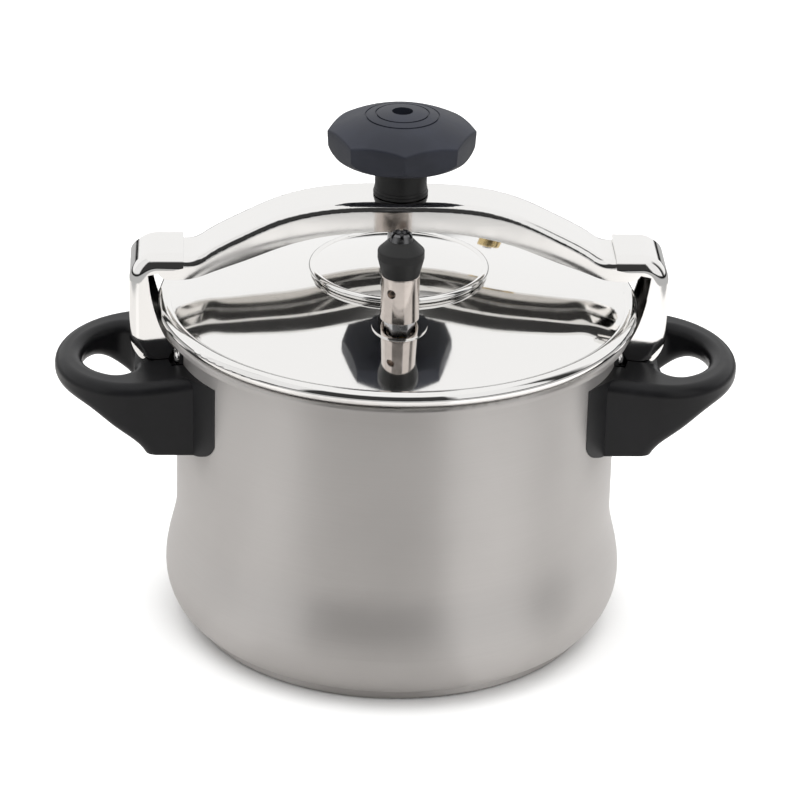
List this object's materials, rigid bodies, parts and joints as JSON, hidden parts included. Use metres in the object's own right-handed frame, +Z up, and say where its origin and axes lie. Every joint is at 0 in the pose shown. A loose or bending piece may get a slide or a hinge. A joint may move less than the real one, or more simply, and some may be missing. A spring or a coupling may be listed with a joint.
{
  "type": "stovetop pressure cooker",
  "caption": "Bellied steel pressure cooker with side handles, domed lid, arched bridge clamped by an octagonal knob, hooks on the pot and a weighted steam regulator.",
  "frame": {"origin": "centre of the base's underside", "axes": "+Z up, +X along the bridge towards the right side handle, -Y towards the steam regulator"},
  "size_m": [0.3414, 0.239, 0.2709],
  "materials": {
    "satin_steel": "satin stainless steel",
    "mirror_steel": "mirror-polished stainless steel",
    "core_aluminium": "plain aluminium",
    "zinc_steel": "machined steel",
    "brass": "machined brass",
    "phenolic": "satin black phenolic",
    "knob_black": "fine-grained black phenolic",
    "cap_black": "matt black plastic",
    "rubber": "grey silicone rubber"
  },
  "bodies": {
    "pot": {"pot_shell": "satin_steel", "base_core": "core_aluminium", "base_cap": "satin_steel", "right_hook": "mirror_steel", "left_hook": "mirror_steel", "hook_rivets": "mirror_steel", "right_handle": "phenolic", "left_handle": "phenolic", "handle_studs": "zinc_steel", "handle_washers": "zinc_steel", "handle_screws": "zinc_steel"},
    "lid": {"lid_shell": "mirror_steel", "gasket": "rubber", "steam_pipe": "zinc_steel", "steam_pipe_seat": "mirror_steel", "steam_pipe_nut": "mirror_steel", "steam_pipe_locknut": "zinc_steel", "safety_valve_body": "mirror_steel", "safety_valve_nut": "zinc_steel", "safety_valve_seal": "rubber", "safety_spring": "zinc_steel"},
    "regulator": {"regulator_sleeve": "mirror_steel", "regulator_needle": "brass"},
    "regulator_cap": {"regulator_cap": "cap_black", "regulator_outlet": "zinc_steel"},
    "safety_plunger": {"safety_plunger": "brass"},
    "bridge": {"yoke": "mirror_steel", "yoke_bush": "brass", "yoke_bush_ring": "zinc_steel"},
    "bell": {"pressure_bell": "mirror_steel", "bell_lock_ring": "zinc_steel"},
    "knob": {"spindle": "zinc_steel", "knob": "knob_black", "knob_insert": "brass", "knob_collar": "knob_black", "knob_screw": "zinc_steel"}
  },
  "joints": [
    {"name": "lid_slide", "type": "slide", "parent": "pot", "child": "lid", "axis": [0, 1, 0], "range_m": [0, 0.26]},
    {"name": "bridge_slide", "type": "slide", "parent": "lid", "child": "bridge", "axis": [0, 1, 0], "range_m": [0, 0.05]},
    {"name": "bell_lift", "type": "slide", "parent": "bridge", "child": "bell", "axis": [0, 0, 1], "range_m": [0, 0.008]},
    {"name": "knob_turn", "type": "hinge", "parent": "bell", "child": "knob", "pos_m": [0, 0, 0.25], "axis": [0, 0, 1], "range_deg": [0, 720]},
    {"name": "regulator_lift", "type": "slide", "parent": "lid", "child": "regulator", "axis": [0, 0, 1], "range_m": [0, 0.03]},
    {"name": "regulator_turn", "type": "hinge", "parent": "regulator", "child": "regulator_cap", "pos_m": [-0.002, -0.0592, 0.21], "axis": [0, 0, 1], "continuous": true},
    {"name": "safety_pop", "type": "slide", "parent": "lid", "child": "safety_plunger", "axis": [0, 0, 1], "range_m": [0, 0.003], "stiffness_N_per_m": 400, "deforming": ["safety_spring"]}
  ],
  "couplings": [
    {"joint": "knob_turn", "follows": "bell_lift", "rad_per_m": 1570.8}
  ]
}
